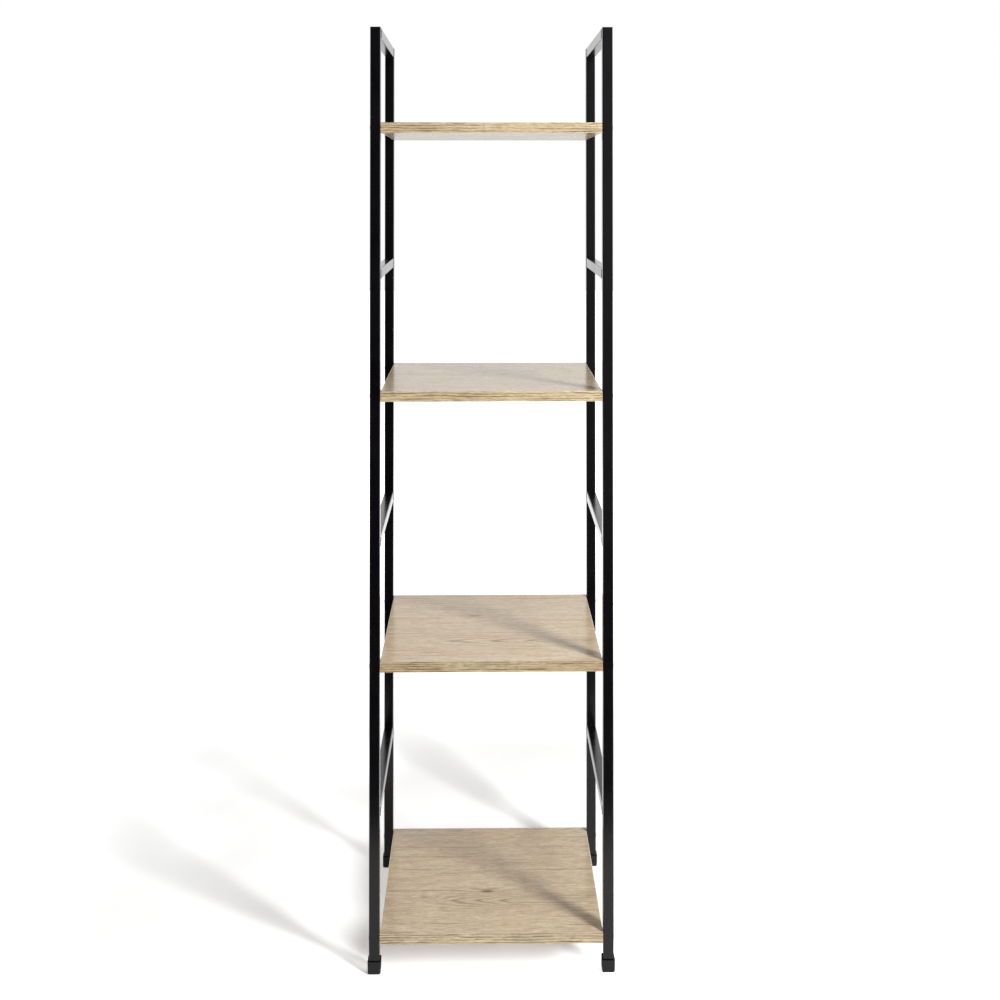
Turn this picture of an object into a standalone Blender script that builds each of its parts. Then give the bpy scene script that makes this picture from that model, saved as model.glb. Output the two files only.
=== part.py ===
# Narrow open shelving unit: two welded side frames of square steel tube carry four oak-faced boards.
# Metres, +Z up. The front faces -Y, and the origin lies on the floor under the middle of the unit.
import math

import bmesh
import bpy
from mathutils import Matrix, Vector

# Overall sizes of the two side frames
WIDTH = 0.350  # outer face of one side frame to outer face of the other
DEPTH = 0.305  # front face to rear face of the posts
TUBE = 0.015  # side of the square tube
TUBE_WALL = 0.0012
TUBE_CORNER = 0.0015  # outer radius along the tube
TUBE_END_EDGE = 0.0004  # ground edge round the closed top of a post

# Boards and where they sit, bottom to top
SHELF_NAMES = ("bottom", "lower", "upper", "top")
BOARD = 0.015  # board thickness
BAY_HEIGHT = 0.3715  # clear height from one board to the next
CAP_TO_BOARD = 0.0234  # rim of a foot cap to the underside of the bottom board
HEAD_SPACE = 0.123  # top board to the underside of the top rails
RAIL_RISE = 0.160  # board to the underside of the cross rail above it
BAND = 0.0008  # thickness of the edge bands glued round each board
BAND_EDGE = 0.0004  # radius along the outer edges of a band

# Slip-on foot caps
CAP_WALL = 0.0017
CAP_BASE = 0.003
CAP_HEIGHT = 0.018
CAP_CORNER = 0.0024  # radius of the upright corners
CAP_SOLE_EDGE = 0.0012  # radius round the sole
CAP_RIM_EDGE = 0.0004

# Low domed cross-recess screws, driven from outside through a post into a board's end
SHANK_RADIUS = 0.002
HEAD_OVERHANG = 0.002  # rim of the head past the shank
HEAD_DOME = 0.0004
HEAD_RIM = 0.0002  # straight edge under the dome
SCREW_BITE = 0.020  # length that stands in the board
SCREW_POINT = 0.004  # length of the cone at the end
POINT_RADIUS = 0.0004
PILOT_SPARE = 0.002  # hole past the point of the screw
RECESS_MARGIN = 0.0025  # end of the cross recess to the rim of the head
RECESS_SLOT = 0.0009
RECESS_DEPTH = 0.0012  # from the crown of the head down into the shank

# Clearances between pieces
SEAT_GAP = 0.0003  # pieces that rest on or slide into each other
GLUE_LINE = 0.0002  # board to edge band
HEAD_GAP = 0.0002  # post to the head of a screw

# How finely round shapes are divided
CORNER_STEPS = 3
EDGE_STEPS = 2
DOME_STEPS = 3
TURN_STEPS = 12
CUT_OVERRUN = 0.002  # how far a cutter runs past what it opens
SMOOTH_BELOW = math.radians(35)

# Sizes that follow from the ones above
OUTER_X = WIDTH / 2
OUTER_Y = DEPTH / 2
POST_X = OUTER_X - TUBE / 2
POST_Y = OUTER_Y - TUBE / 2
SHELF_LENGTH = WIDTH - 2 * (TUBE + SEAT_GAP)
BOARD_LENGTH = SHELF_LENGTH - 2 * (BAND + GLUE_LINE)
BOARD_DEPTH = DEPTH - 2 * (BAND + GLUE_LINE)
BOTTOM_BOARD_TOP = CAP_HEIGHT + CAP_TO_BOARD + BOARD
SHELF_TOPS = [BOTTOM_BOARD_TOP + n * (BAY_HEIGHT + BOARD) for n in range(len(SHELF_NAMES))]
HEIGHT = SHELF_TOPS[-1] + HEAD_SPACE + TUBE
POST_FOOT = CAP_BASE + SEAT_GAP
POST_LENGTH = HEIGHT - POST_FOOT
RAIL_LENGTH = DEPTH - 2 * (TUBE + SEAT_GAP)
HEAD_SEAT = OUTER_X + HEAD_GAP
SCREW_LENGTH = HEAD_GAP + TUBE + SEAT_GAP + SCREW_BITE
DRILL_RADIUS = SHANK_RADIUS + SEAT_GAP
HEAD_RADIUS = SHANK_RADIUS + HEAD_OVERHANG
HEAD_CROWN = HEAD_RIM + HEAD_DOME
CAP_SIDE = TUBE + 2 * (SEAT_GAP + CAP_WALL)

SIDES = {"left": -1, "right": 1}
ROWS = {"front": -1, "rear": 1}


def clear_scene():
    for obj in list(bpy.data.objects):
        bpy.data.objects.remove(obj, do_unlink=True)


def new_collection(name):
    collection = bpy.data.collections.new(name)
    bpy.context.scene.collection.children.link(collection)
    return collection


def finish(name, colour, roughness, metallic):
    material = bpy.data.materials.new(name)
    material.use_nodes = True
    shader = material.node_tree.nodes["Principled BSDF"]
    shader.inputs["Base Color"].default_value = (*colour, 1.0)
    shader.inputs["Roughness"].default_value = roughness
    shader.inputs["Metallic"].default_value = metallic
    material.diffuse_color = (*colour, 1.0)
    return material


clear_scene()
UNIT = new_collection("shelving_unit")
CUTTERS = new_collection("cutters")

POWDER_COAT = finish("black_powder_coat", (0.012, 0.012, 0.014), 0.42, 0.0)
OAK_FACE = finish("pale_oak_face", (0.62, 0.50, 0.35), 0.45, 0.0)
OAK_BAND = finish("pale_oak_edge_band", (0.56, 0.43, 0.27), 0.5, 0.0)
CAP_PLASTIC = finish("black_foot_plastic", (0.022, 0.022, 0.023), 0.6, 0.0)
SCREW_STEEL = finish("black_screw_steel", (0.03, 0.03, 0.032), 0.35, 0.9)


# Making shapes


def box(size, centre=(0.0, 0.0, 0.0)):
    bm = bmesh.new()
    bmesh.ops.create_cube(bm, size=1.0)
    bmesh.ops.scale(bm, vec=Vector(size), verts=bm.verts)
    bmesh.ops.translate(bm, vec=Vector(centre), verts=bm.verts)
    return bm


def rod(radius, length, centre):
    # A cylinder along X
    bm = bmesh.new()
    bmesh.ops.create_cone(bm, cap_ends=True, segments=TURN_STEPS, radius1=radius, radius2=radius, depth=length)
    bmesh.ops.rotate(bm, matrix=Matrix.Rotation(math.radians(90), 3, "Y"), verts=bm.verts)
    bmesh.ops.translate(bm, vec=Vector(centre), verts=bm.verts)
    return bm


def edges_along(bm, axis):
    along = []
    for edge in bm.edges:
        direction = (edge.verts[1].co - edge.verts[0].co).normalized()
        if abs(direction[axis]) > 0.999:
            along.append(edge)
    return along


def edges_at(bm, axis, value):
    # Edges that lie wholly in the plane where the axis has this value
    return [e for e in bm.edges if all(abs(v.co[axis] - value) < 1e-6 for v in e.verts)]


def round_edges(bm, edges, radius, steps):
    bmesh.ops.bevel(bm, geom=edges, offset=radius, segments=steps, profile=0.5, affect="EDGES", clamp_overlap=True)


def new_object(name, bm, collection):
    mesh = bpy.data.meshes.new(name)
    bm.to_mesh(mesh)
    bm.free()
    obj = bpy.data.objects.new(name, mesh)
    collection.objects.link(obj)
    return obj


def cutter(name, bm):
    obj = new_object(name, bm, CUTTERS)
    obj.hide_render = True
    obj.display_type = "WIRE"
    return obj


def cut(obj, *cutters):
    for tool in cutters:
        boolean = obj.modifiers.new("cut_" + tool.name, "BOOLEAN")
        boolean.operation = "DIFFERENCE"
        boolean.solver = "EXACT"
        boolean.object = tool


def pattern_mesh(obj):
    # The finished mesh of a pattern piece, for its copies to share
    bpy.context.view_layer.update()
    evaluated = obj.evaluated_get(bpy.context.evaluated_depsgraph_get())
    mesh = bpy.data.meshes.new_from_object(evaluated)
    mesh.name = obj.name
    mesh.shade_smooth()
    mesh.set_sharp_from_angle(angle=SMOOTH_BELOW)
    bpy.data.objects.remove(obj, do_unlink=True)
    return mesh


def place(name, mesh, material, location, parent, turn=(0.0, 0.0, 0.0)):
    obj = bpy.data.objects.new(name, mesh)
    UNIT.objects.link(obj)
    if not mesh.materials:
        mesh.materials.append(material)
    obj.location = location
    obj.rotation_euler = turn
    obj.parent = parent
    return obj


def group(name):
    empty = bpy.data.objects.new(name, None)
    UNIT.objects.link(empty)
    return empty


# Pattern pieces, each modelled once about its own middle


def screw_line(name, side, height, centre_x, centre_y, base_z):
    # The drilled line of one screw, in the frame of a piece centred on the given point:
    # it starts outside the post and ends past the screw's point in the board.
    inner_end = HEAD_SEAT - SCREW_LENGTH - PILOT_SPARE
    outer_end = OUTER_X + CUT_OVERRUN
    middle = side * (outer_end + inner_end) / 2 - centre_x
    return cutter(name, rod(DRILL_RADIUS, outer_end - inner_end, (middle, centre_y, height - base_z)))


def post_mesh():
    # Hollow, closed and ground smooth at the top, open at the foot
    bm = box((TUBE, TUBE, POST_LENGTH), (0.0, 0.0, POST_LENGTH / 2))
    round_edges(bm, edges_along(bm, 2), TUBE_CORNER, CORNER_STEPS)
    round_edges(bm, edges_at(bm, 2, POST_LENGTH), TUBE_END_EDGE, 1)
    post = new_object("post", bm, UNIT)
    hollow = TUBE - 2 * TUBE_WALL
    hollow_length = POST_LENGTH - TUBE_WALL + CUT_OVERRUN
    for name, top in zip(SHELF_NAMES, SHELF_TOPS):
        cut(post, screw_line("post_hole_" + name, 1, top - BOARD / 2, POST_X, 0.0, POST_FOOT))
    bore = cutter("post_bore", box((hollow, hollow, hollow_length), (0, 0, hollow_length / 2 - CUT_OVERRUN)))
    cut(post, bore)
    return pattern_mesh(post)


def rail_mesh():
    # Hollow and open at both ends, where the posts close it
    bm = box((TUBE, RAIL_LENGTH, TUBE))
    round_edges(bm, edges_along(bm, 1), TUBE_CORNER, CORNER_STEPS)
    rail = new_object("rail", bm, UNIT)
    hollow = TUBE - 2 * TUBE_WALL
    cut(rail, cutter("rail_bore", box((hollow, RAIL_LENGTH + 2 * CUT_OVERRUN, hollow))))
    return pattern_mesh(rail)


def board_mesh():
    board = new_object("board", box((BOARD_LENGTH, BOARD_DEPTH, BOARD)), UNIT)
    for side_name, side in SIDES.items():
        for row_name, row in ROWS.items():
            name = f"board_hole_{side_name}_{row_name}"
            cut(board, screw_line(name, side, 0.0, 0.0, row * POST_Y, 0.0))
    return pattern_mesh(board)


def long_band_mesh():
    # Runs along X with its outer face at -Y
    bm = box((SHELF_LENGTH, BAND, BOARD))
    outer = [e for e in edges_along(bm, 0) if e.verts[0].co.y < 0]
    round_edges(bm, outer, BAND_EDGE, EDGE_STEPS)
    return pattern_mesh(new_object("long_band", bm, UNIT))


def end_band_mesh():
    # Runs along Y with its outer face at +X, and lets two screws through
    bm = box((BAND, BOARD_DEPTH, BOARD))
    outer = [e for e in edges_along(bm, 1) if e.verts[0].co.x > 0]
    round_edges(bm, outer, BAND_EDGE, EDGE_STEPS)
    band = new_object("end_band", bm, UNIT)
    for row_name, row in ROWS.items():
        hole = screw_line("band_hole_" + row_name, 1, 0.0, SHELF_LENGTH / 2 - BAND / 2, row * POST_Y, 0.0)
        cut(band, hole)
    return pattern_mesh(band)


def cap_mesh():
    # A square cup with its sole at z = 0
    bm = box((CAP_SIDE, CAP_SIDE, CAP_HEIGHT), (0.0, 0.0, CAP_HEIGHT / 2))
    round_edges(bm, edges_along(bm, 2), CAP_CORNER, CORNER_STEPS)
    round_edges(bm, edges_at(bm, 2, 0.0), CAP_SOLE_EDGE, EDGE_STEPS)
    round_edges(bm, edges_at(bm, 2, CAP_HEIGHT), CAP_RIM_EDGE, 1)
    cap = new_object("foot_cap", bm, UNIT)
    pocket_side = TUBE + 2 * SEAT_GAP
    pocket_depth = CAP_HEIGHT - CAP_BASE + CUT_OVERRUN
    pocket = box((pocket_side, pocket_side, pocket_depth), (0.0, 0.0, CAP_BASE + pocket_depth / 2))
    round_edges(pocket, edges_along(pocket, 2), TUBE_CORNER + SEAT_GAP, CORNER_STEPS)
    cut(cap, cutter("cap_pocket", pocket))
    return pattern_mesh(cap)


def screw_profile():
    # Half section down the outer side: dome, rim, underside of the head, shank and point
    dome_radius = (HEAD_RADIUS**2 + HEAD_DOME**2) / (2 * HEAD_DOME)
    spread = math.asin(HEAD_RADIUS / dome_radius)
    points = []
    for step in range(DOME_STEPS + 1):
        angle = spread * step / DOME_STEPS
        points.append((dome_radius * math.sin(angle), HEAD_CROWN - dome_radius * (1 - math.cos(angle))))
    points.append((HEAD_RADIUS, 0.0))
    points.append((SHANK_RADIUS, 0.0))
    points.append((SHANK_RADIUS, SCREW_POINT - SCREW_LENGTH))
    points.append((POINT_RADIUS, -SCREW_LENGTH))
    points.append((0.0, -SCREW_LENGTH))
    return points


def screw_mesh():
    # Stands along Z, with the underside of its head at z = 0
    bm = bmesh.new()
    verts = [bm.verts.new((x, 0.0, z)) for x, z in screw_profile()]
    for first, second in zip(verts, verts[1:]):
        bm.edges.new((first, second))
    screw = new_object("screw", bm, UNIT)
    turn = screw.modifiers.new("turn", "SCREW")
    turn.angle = math.tau
    turn.steps = TURN_STEPS
    turn.render_steps = TURN_STEPS
    turn.use_merge_vertices = True
    turn.merge_threshold = 0.00001
    span = 2 * (HEAD_RADIUS - RECESS_MARGIN)
    depth = RECESS_DEPTH + CUT_OVERRUN
    middle = (0.0, 0.0, HEAD_CROWN + CUT_OVERRUN - depth / 2)
    cut(screw, cutter("recess_across", box((span, RECESS_SLOT, depth), middle)))
    cut(screw, cutter("recess_along", box((RECESS_SLOT, span, depth), middle)))
    return pattern_mesh(screw)


# Assembly


def place_side_frame(side_name, side, post, rail, cap):
    frame = group(side_name + "_frame")
    x = side * POST_X
    for row_name, row in ROWS.items():
        name = f"{side_name}_{row_name}"
        place(name + "_post", post, POWDER_COAT, (x, row * POST_Y, POST_FOOT), frame)
        place(name + "_foot_cap", cap, CAP_PLASTIC, (x, row * POST_Y, 0.0), frame)
    for name, shelf_top in zip(SHELF_NAMES[:-1], SHELF_TOPS):
        height = shelf_top + RAIL_RISE + TUBE / 2
        place(f"{side_name}_{name}_rail", rail, POWDER_COAT, (x, 0.0, height), frame)
    place(side_name + "_top_rail", rail, POWDER_COAT, (x, 0.0, HEIGHT - TUBE / 2), frame)


def place_shelf(name, top, board, long_band, end_band, screw):
    shelf = group(name + "_shelf")
    shelf.location.z = top - BOARD / 2
    place(name + "_shelf_board", board, OAK_FACE, (0.0, 0.0, 0.0), shelf)
    for row_name, row in ROWS.items():
        half_turn = math.pi if row > 0 else 0.0
        location = (0.0, row * (OUTER_Y - BAND / 2), 0.0)
        place(f"{name}_shelf_{row_name}_band", long_band, OAK_BAND, location, shelf, (0.0, 0.0, half_turn))
    for side_name, side in SIDES.items():
        half_turn = math.pi if side < 0 else 0.0
        location = (side * (SHELF_LENGTH / 2 - BAND / 2), 0.0, 0.0)
        place(f"{name}_shelf_{side_name}_band", end_band, OAK_BAND, location, shelf, (0.0, 0.0, half_turn))
        for row_name, row in ROWS.items():
            location = (side * HEAD_SEAT, row * POST_Y, 0.0)
            turn = (0.0, side * math.radians(90), 0.0)
            place(f"{name}_shelf_{side_name}_{row_name}_screw", screw, SCREW_STEEL, location, shelf, turn)


def build():
    post = post_mesh()
    rail = rail_mesh()
    cap = cap_mesh()
    for side_name, side in SIDES.items():
        place_side_frame(side_name, side, post, rail, cap)
    shelf_pieces = (board_mesh(), long_band_mesh(), end_band_mesh(), screw_mesh())
    for name, top in zip(SHELF_NAMES, SHELF_TOPS):
        place_shelf(name, top, *shelf_pieces)


build()
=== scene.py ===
# %% [markdown]
# # A narrow shelving unit in black steel and pale oak
#
# The object is a tall, open shelving unit. Two side frames of square steel tube, welded and powder
# coated black, carry four boards faced with a pale oak print. This lesson dresses the unit piece by
# piece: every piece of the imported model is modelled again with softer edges, real walls and finer
# detail, and then gets a finish made of nodes.
#
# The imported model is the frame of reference. It is loaded first, it is never moved, and every size
# that it can give is read from it.

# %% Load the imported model
import math

import bmesh
import bpy
from mathutils import Matrix, Vector


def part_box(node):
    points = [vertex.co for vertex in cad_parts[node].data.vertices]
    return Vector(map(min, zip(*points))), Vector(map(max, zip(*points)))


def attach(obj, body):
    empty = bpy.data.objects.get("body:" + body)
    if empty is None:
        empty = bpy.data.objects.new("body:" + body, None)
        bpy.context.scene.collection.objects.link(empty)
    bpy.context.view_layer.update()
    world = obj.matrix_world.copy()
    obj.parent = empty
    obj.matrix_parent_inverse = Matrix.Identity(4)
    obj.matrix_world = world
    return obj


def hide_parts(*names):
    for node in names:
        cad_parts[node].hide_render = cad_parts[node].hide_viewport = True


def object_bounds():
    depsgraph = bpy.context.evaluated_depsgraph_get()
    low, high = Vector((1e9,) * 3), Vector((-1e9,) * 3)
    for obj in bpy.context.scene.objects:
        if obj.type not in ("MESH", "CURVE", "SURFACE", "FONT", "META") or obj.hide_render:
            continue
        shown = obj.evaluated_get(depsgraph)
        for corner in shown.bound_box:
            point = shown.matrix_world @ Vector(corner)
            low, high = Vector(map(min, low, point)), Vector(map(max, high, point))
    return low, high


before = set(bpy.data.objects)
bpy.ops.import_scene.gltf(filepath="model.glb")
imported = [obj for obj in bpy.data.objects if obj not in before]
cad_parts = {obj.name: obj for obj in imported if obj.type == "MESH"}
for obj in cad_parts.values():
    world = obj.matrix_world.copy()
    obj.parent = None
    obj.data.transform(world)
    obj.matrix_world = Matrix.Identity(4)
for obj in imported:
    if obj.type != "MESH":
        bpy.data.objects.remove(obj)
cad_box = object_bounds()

cad_size = [round(v, 4) for v in cad_box[1] - cad_box[0]]
print("the frame has", len(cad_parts), "pieces and measures", cad_size)

# %% [markdown]
# ## The camera
#
# The photograph was taken almost level, a little below the top board, with the lens shifted down:
# that is why the posts stay parallel although the bottom board is seen from well above. A camera
# tilted down would make the posts lean together. So the camera here is level too, and its shift
# brings the feet into the picture. The picture is square, 1000 pixels a side.

# %% Stand the camera where the photographer stood
PICTURE_SIDE = 1000
HORIZON_ROW = 169.53
SENSOR = 36.0
FOCAL_PIXELS = 1294.87
CAMERA_PLACE = (-0.01507, -2.0169, 1.12269)
CAMERA_PITCH = math.radians(0.7769)
CAMERA_TURN = math.radians(-0.8364)
QUARTER = math.pi / 2


def deselect_all():
    bpy.ops.object.select_all(action="DESELECT")


def stand_camera():
    deselect_all()
    tilt = (QUARTER + CAMERA_PITCH, 0.0, CAMERA_TURN)
    bpy.ops.object.camera_add(location=CAMERA_PLACE, rotation=tilt)
    camera = bpy.context.object
    camera.name = "photographer"
    camera.data.sensor_width = SENSOR
    camera.data.lens = SENSOR * FOCAL_PIXELS / PICTURE_SIDE
    camera.data.shift_y = (HORIZON_ROW - PICTURE_SIDE / 2) / PICTURE_SIDE
    bpy.context.scene.camera = camera
    return camera


camera = stand_camera()
print("the lens is", round(camera.data.lens, 1), "mm, shifted by", round(camera.data.shift_y, 3))

# %% [markdown]
# ## Helpers for wiring nodes
#
# Every finish below is built from nodes, so a few short helpers keep the wiring readable. A value
# given to a node is either a plain setting or the output of another node, and the helper sets or
# links it as needed. A node that takes in an output joins the tree of that output.
#
# A node group is a finish effect with named inputs, built once and used by several materials. The
# shader itself stays in the material.

# %% Wire nodes, groups and materials
ORIGIN = (0.0, 0.0, 0.0)
NUMBERS = ("LENGTH", "DISTANCE", "DOT_PRODUCT")


def is_socket(value):
    return isinstance(value, bpy.types.NodeSocket)


def wire_inputs(node, values):
    for name, value in values.items():
        if is_socket(value):
            node.id_data.links.new(value, node.inputs[name])
        else:
            node.inputs[name].default_value = value


def adjust(thing, settings):
    for name, setting in settings.items():
        setattr(thing, name, setting)


def add_node(tree, kind, values=None, **settings):
    node = tree.nodes.new("ShaderNode" + kind)
    adjust(node, settings)
    wire_inputs(node, values or {})
    return node.outputs


def wired(kind, values, **settings):
    tree = next(value.id_data for value in values.values() if is_socket(value))
    return add_node(tree, kind, values, **settings)


def maths(operation, *values, clamp=False):
    return wired("Math", dict(enumerate(values)), operation=operation, use_clamp=clamp)[0]


def product(first, second):
    return maths("MULTIPLY", first, second)


def fused(first, second, third):
    # The first times the second, plus the third
    return maths("MULTIPLY_ADD", first, second, third)


def vectors(operation, *values):
    outputs = wired("VectorMath", dict(enumerate(values)), operation=operation)
    return outputs["Value" if operation in NUMBERS else "Vector"]


def split(vector):
    return wired("SeparateXYZ", {0: vector})


def noise(vector, factors=None, detail=2.0, roughness=0.5, distortion=0.0):
    # The factors press the noise together along X, Y and Z
    if factors:
        vector = vectors("MULTIPLY", vector, factors)
    values = {"Vector": vector, "Scale": 1.0, "Detail": detail, "Roughness": roughness,
              "Distortion": distortion}
    return wired("TexNoise", values)[0]


def ranged(value, low, high, new_low=0.0, new_high=1.0, **settings):
    values = dict(enumerate((value, low, high, new_low, new_high)))
    return wired("MapRange", values, **settings)[0]


def bell(distance):
    # One in the middle, and next to nothing at a distance of two
    return maths("EXPONENT", product(product(distance, distance), -1.0))


def blended(share, first, second):
    return wired("Mix", {0: share, 6: first, 7: second}, data_type="RGBA")[2]


def laid_over(base, colour, *layers):
    # Each layer is a mask and its strength
    for mask, strength in layers:
        base = blended(product(mask, strength), base, colour)
    return base


def mixed(share, first, second):
    return wired("MixShader", {0: share, 1: first, 2: second})[0]


def start_group(name, inputs, outputs):
    # An input with three numbers is a vector, one with a single number is a value
    group = bpy.data.node_groups.new(name, "ShaderNodeTree")
    for label, value in inputs.items():
        kind = "NodeSocketVector" if isinstance(value, tuple) else "NodeSocketFloat"
        socket = group.interface.new_socket(name=label, in_out="INPUT", socket_type=kind)
        socket.default_value = value
    for label in outputs:
        group.interface.new_socket(name=label, in_out="OUTPUT", socket_type="NodeSocketFloat")
    given = group.nodes.new("NodeGroupInput")
    return group, given.outputs, group.nodes.new("NodeGroupOutput")


def use_group(group, values):
    return wired("Group", values, node_tree=group)


def start_material(name):
    material = bpy.data.materials.new(name)
    material.use_nodes = True
    tree = material.node_tree
    return material, tree.nodes["Principled BSDF"], add_node(tree, "TexCoord")


def wire_surface(shader, colour, roughness, height, strength, depth, others=None):
    bump = {"Height": height, "Strength": strength, "Distance": depth}
    wire_inputs(shader, {"Base Color": colour, "Roughness": roughness,
                         "Normal": wired("Bump", bump)["Normal"], **(others or {})})


print("the wiring helpers are ready")

# %% [markdown]
# ## Softened edges as a mask
#
# Powder runs thin over an edge, and a printed foil rubs bright there. Both effects need a mask that
# says where an edge is. The pieces all stand square to the axes and their edges are really rounded,
# so the normal itself tells: on a flat face one of its three parts is one, and round an edge none
# is. That needs no painted map. A second mask tells the flats that look up or down.

# %% Build the edge mask
UPWARD_PART = (0.2, 0.6)


def edge_mask_group():
    inputs = {"Normal": (0.0, 0.0, 1.0), "Spread": 0.2}
    group, given, result = start_group("soft_edge_mask", inputs, ("Mask", "Upward"))
    parts = split(vectors("ABSOLUTE", given["Normal"]))
    largest = maths("MAXIMUM", maths("MAXIMUM", parts[0], parts[1]), parts[2])
    off_square = maths("SUBTRACT", 1.0, largest)
    mask = maths("DIVIDE", off_square, given["Spread"], clamp=True)
    upward = ranged(parts[2], *UPWARD_PART)
    wire_inputs(result, {"Mask": mask, "Upward": upward})
    return group


def edges_of(place, spread):
    return use_group(EDGE_MASK, {"Normal": place["Normal"], "Spread": spread})


EDGE_MASK = edge_mask_group()
print("made the group", EDGE_MASK.name)

# %% [markdown]
# ## Cloudiness
#
# No coated, moulded or printed surface has exactly the same sheen all over. A slow, shallow cloud
# of noise goes into the roughness of every finish. Its size runs from half a millimetre on a screw
# to five centimetres on a board.

# %% Build the cloudiness


def cloud_group():
    inputs = {"Vector": ORIGIN, "Size": 0.03}
    group, given, result = start_group("sheen_clouds", inputs, ("Clouds",))
    pitch = maths("DIVIDE", 1.0, given["Size"])
    stretched = vectors("MULTIPLY", given["Vector"], pitch)
    cloud = noise(stretched, detail=3.0, roughness=0.55, distortion=0.4)
    wire_inputs(result, {"Clouds": ranged(cloud, 0.3, 0.7)})
    return group


def clouds_on(place, size):
    return use_group(CLOUDS, {"Vector": place["Object"], "Size": size})["Clouds"]


CLOUDS = cloud_group()
print("made the group", CLOUDS.name)

# %% [markdown]
# ## Black powder coat
#
# The tube is coated with a fine-textured black powder. Close up the film is pebbled, because the
# powder melts in drops of about half a millimetre, and here and there a coarser grain stands out.
# The colour is not pure black but a very dark, slightly warm violet grey, and thin film over the
# rounded edges looks a touch lighter and smoother.

# %% Build the powder film and its material
POWDER_GRAIN = 0.00045
POWDER_DARK = (0.0013, 0.0009, 0.0018, 1.0)
POWDER_LIGHT = (0.0030, 0.0023, 0.0036, 1.0)
POWDER_EDGE = (0.0090, 0.0078, 0.0098, 1.0)
POWDER_BUMP = 0.00002
POWDER_GLOSS = {"Specular IOR Level": 0.40, "Coat Weight": 0.24, "Coat Roughness": 0.10}
SPECKS_APART = (0.32, 0.32, 0.32)
FILM_EDGE = 0.3


def film_group():
    inputs = {"Vector": ORIGIN, "Grain": POWDER_GRAIN}
    group, given, result = start_group("textured_film", inputs, ("Height", "Specks"))
    pitch = maths("DIVIDE", 1.0, given["Grain"])
    cells = vectors("MULTIPLY", given["Vector"], pitch)
    drops = wired("TexVoronoi", {"Vector": cells, "Scale": 1.0}, feature="SMOOTH_F1")
    dents = product(drops["Distance"], -0.8)
    height = fused(noise(cells), 0.6, dents)
    specks = ranged(noise(cells, SPECKS_APART, detail=1.0), 0.66, 0.74)
    wire_inputs(result, {"Height": height, "Specks": specks})
    return group


def film_material(name, grain, cloud, dark, light, worn, shares, sheen, depth, gloss=None):
    # Worn is the colour on edges and specks, shares says how much of it each of them gets.
    # Sheen is the even roughness, what the clouds add and what the edges add
    material, shader, place = start_material(name)
    film = use_group(FILM, {"Vector": place["Object"], "Grain": grain})
    clouds = clouds_on(place, cloud)
    edges = edges_of(place, FILM_EDGE)["Mask"]
    base = blended(clouds, dark, light)
    base = laid_over(base, worn, *zip((edges, film["Specks"]), shares))
    even, cloudy, on_edges = sheen
    rough = fused(clouds, cloudy, even)
    rough = fused(edges, on_edges, rough)
    wire_surface(shader, base, rough, film["Height"], 0.5, depth, gloss)
    return material


FILM = film_group()
POWDER_COAT = film_material(
    "black_powder_coat_film", grain=POWDER_GRAIN, cloud=0.045, dark=POWDER_DARK,
    light=POWDER_LIGHT, worn=POWDER_EDGE, shares=(0.5, 0.4), sheen=(0.19, 0.06, -0.04),
    depth=POWDER_BUMP, gloss=POWDER_GLOSS)
print("made the group", FILM.name, "and the material", POWDER_COAT.name)

# %% [markdown]
# ## Pale oak print
#
# The boards are chipboard under a printed foil. The print is a calm, pale oak: long fine fibres
# along the board, darker growth lines that wander a little, short dark pores, slow patches that
# lean towards pink or yellow, and now and then a small knot that the lines flow around.
#
# The lines come from a phase that grows across the board, away from a quiet axis. Adding a soft
# hill to that phase bends the lines round the hill, which is just how grain runs round a knot.
# Taking a slope away from it along the axis folds the lines into the nested arches that a board
# shows where it was sawn near the bark. One small group makes the hill, one the arches, and a third
# turns the phase into wood.

# %% Build the knot and arch groups


def knot_group():
    inputs = {"Vector": ORIGIN, "Centre": ORIGIN, "Reach": (0.04, 0.01, 0.02)}
    group, given, result = start_group("knot", inputs, ("Hill", "Core"))
    offset = vectors("SUBTRACT", given["Vector"], given["Centre"])
    distance = vectors("LENGTH", vectors("DIVIDE", offset, given["Reach"]))
    ragged = noise(given["Vector"], (90.0, 380.0, 380.0))
    torn = fused(ragged, 0.9, maths("SUBTRACT", distance, 0.45))
    core = ranged(torn, 0.46, 0.10)
    wire_inputs(result, {"Hill": bell(distance), "Core": core})
    return group


def arch_group():
    inputs = {"Vector": ORIGIN, "Start": ORIGIN, "Run": 0.1, "Count": 3.0,
              "Reach": (1.0, 0.02, 0.03)}
    group, given, result = start_group("arches", inputs, ("Slope", "Near"))
    offset = vectors("SUBTRACT", given["Vector"], given["Start"])
    beside = vectors("MULTIPLY", offset, (0.0, 1.0, 1.0))
    distance = vectors("LENGTH", vectors("DIVIDE", beside, given["Reach"]))
    fade = bell(distance)
    climb = ranged(maths("DIVIDE", split(offset)[0], given["Run"]), 0.0, 1.0)
    slope = product(product(climb, fade), given["Count"])
    ends = product(climb, maths("SUBTRACT", 1.15, climb))
    near = product(ranged(ends, 0.0, 0.12), fade)
    wire_inputs(result, {"Slope": slope, "Near": near})
    return group


KNOT = knot_group()
ARCHES = arch_group()
print("made the groups", KNOT.name, "and", ARCHES.name)

# %% Build the grain group
AXIS_CALM = 0.007
GRAIN_INPUTS = {"Vector": ORIGIN, "Line Pitch": 0.006, "Line Edge": 5.0, "Wander": 0.012,
                "Ripple": 0.10, "Cover": 0.5, "Axis": -1.0, "Hill": 0.0, "Clear": 0.0}
GRAIN_OUTPUTS = ("Lines", "Streaks", "Fibres", "Pores", "Patches", "Breaks")


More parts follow.
